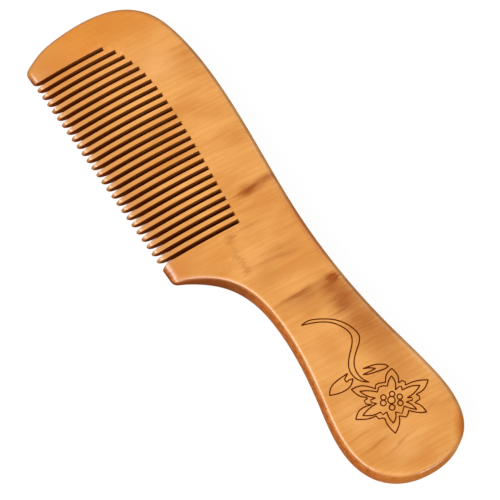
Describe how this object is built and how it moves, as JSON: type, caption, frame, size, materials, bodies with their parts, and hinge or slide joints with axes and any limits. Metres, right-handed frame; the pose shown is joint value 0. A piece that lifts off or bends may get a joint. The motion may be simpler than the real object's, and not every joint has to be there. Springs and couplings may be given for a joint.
{
  "type": "comb",
  "caption": "One-piece wooden hair comb with a curved handle, tapered teeth, a guard at each end of the row and rounded edges.",
  "frame": {"origin": "bottom centre of the comb's box, on the back face it lies on", "axes": "+X along the row of teeth from the head to the handle, +Y from the tooth tips to the spine, +Z out of the shown face"},
  "size_m": [0.1764, 0.0666, 0.01],
  "materials": {
    "lacquered_wood": "clear gloss lacquer over orange-brown fruit wood, grain along the teeth"
  },
  "bodies": {
    "root": {"comb_body": "lacquered_wood"}
  },
  "joints": []
}
